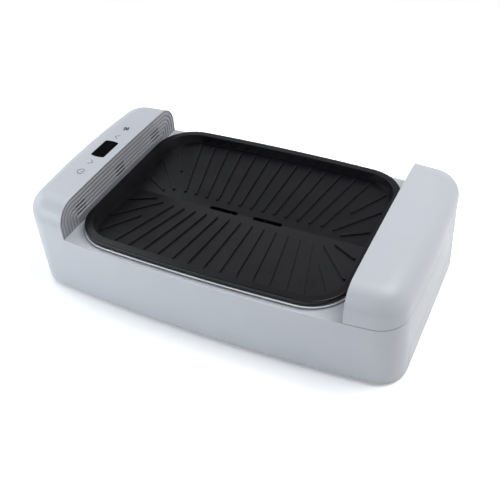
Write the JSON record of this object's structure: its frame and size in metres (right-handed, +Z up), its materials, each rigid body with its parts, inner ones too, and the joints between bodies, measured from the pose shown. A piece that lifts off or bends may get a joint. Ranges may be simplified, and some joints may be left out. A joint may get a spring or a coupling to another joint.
{
  "type": "smokeless electric grill",
  "caption": "Low countertop electric grill with a ribbed lift-out plate between a control tower and a lift-off fan cover, and a drip drawer in one end.",
  "frame": {"origin": "on the surface the feet stand on, under the middle of the grill", "axes": "+X along the length to the drawer and the lift-off cover, +Y to the back, +Z up"},
  "size_m": [0.498, 0.292, 0.14],
  "materials": {
    "housing_plastic": "satin silvery white moulded plastic",
    "grille_plastic": "satin mid grey moulded plastic",
    "nonstick": "black non-stick coating on cast aluminium, satin",
    "steel": "bright pressed stainless sheet",
    "zinc_steel": "zinc-plated screws and small steel parts",
    "element_sheath": "heat-tinted dark steel tube",
    "ceramic": "unglazed ceramic",
    "display_black": "glossy black window",
    "dark_plastic": "matt black moulded plastic",
    "circuit_board": "green solder mask",
    "component": "moulded electronic parts",
    "foam": "conductive foam",
    "rubber": "soft dark rubber",
    "aluminium_mesh": "expanded aluminium mesh",
    "brass": "plain brass"
  },
  "bodies": {
    "base": {"main_housing": "housing_plastic", "bottom_plate": "dark_plastic", "rubber_feet": "rubber", "bottom_screws": "zinc_steel", "vent_grille": "grille_plastic", "display_window": "display_black", "control_board": "circuit_board", "control_board_screws": "zinc_steel", "display_module": "component", "touch_springs": "foam", "steel_liner": "steel", "heating_element": "element_sheath", "element_supports": "steel", "element_bushes": "ceramic", "element_terminals": "brass", "thermal_cutout": "component", "front_rail": "zinc_steel", "back_rail": "zinc_steel", "blower_shelf": "dark_plastic", "shelf_screws": "zinc_steel", "left_blower_case": "dark_plastic", "left_blower_lid": "dark_plastic", "left_blower_motor": "component", "left_blower_screws": "zinc_steel", "left_blower_spacers": "dark_plastic", "right_blower_case": "dark_plastic", "right_blower_lid": "dark_plastic", "right_blower_motor": "component", "right_blower_screws": "zinc_steel", "power_inlet": "dark_plastic", "inlet_pins": "brass", "power_board": "circuit_board", "power_board_parts": "component", "power_board_spacers": "dark_plastic", "power_board_screws": "zinc_steel"},
    "plate": {"grill_plate": "nonstick"},
    "drawer": {"drip_tray": "steel", "drawer_front": "housing_plastic", "drawer_screws": "zinc_steel"},
    "cover": {"tower_cover": "housing_plastic", "intake_grille": "grille_plastic", "filter_frame": "aluminium_mesh", "filter_mesh": "aluminium_mesh"},
    "left_wheel": {"left_blower_wheel": "dark_plastic"},
    "right_wheel": {"right_blower_wheel": "dark_plastic"}
  },
  "joints": [
    {"name": "plate_lift", "type": "slide", "parent": "base", "child": "plate", "axis": [0, 0, 1], "range_m": [0, 0.07]},
    {"name": "cover_lift", "type": "slide", "parent": "base", "child": "cover", "axis": [0, 0, 1], "range_m": [0, 0.06]},
    {"name": "drawer_slide", "type": "slide", "parent": "base", "child": "drawer", "axis": [1, 0, 0], "range_m": [0, 0.328]},
    {"name": "left_fan_spin", "type": "hinge", "parent": "base", "child": "left_wheel", "pos_m": [-0.21085, -0.064, 0.02], "axis": [0, 0, 1], "continuous": true},
    {"name": "right_fan_spin", "type": "hinge", "parent": "base", "child": "right_wheel", "pos_m": [0.21085, 0.04, 0.056], "axis": [0, 0, 1], "continuous": true}
  ]
}
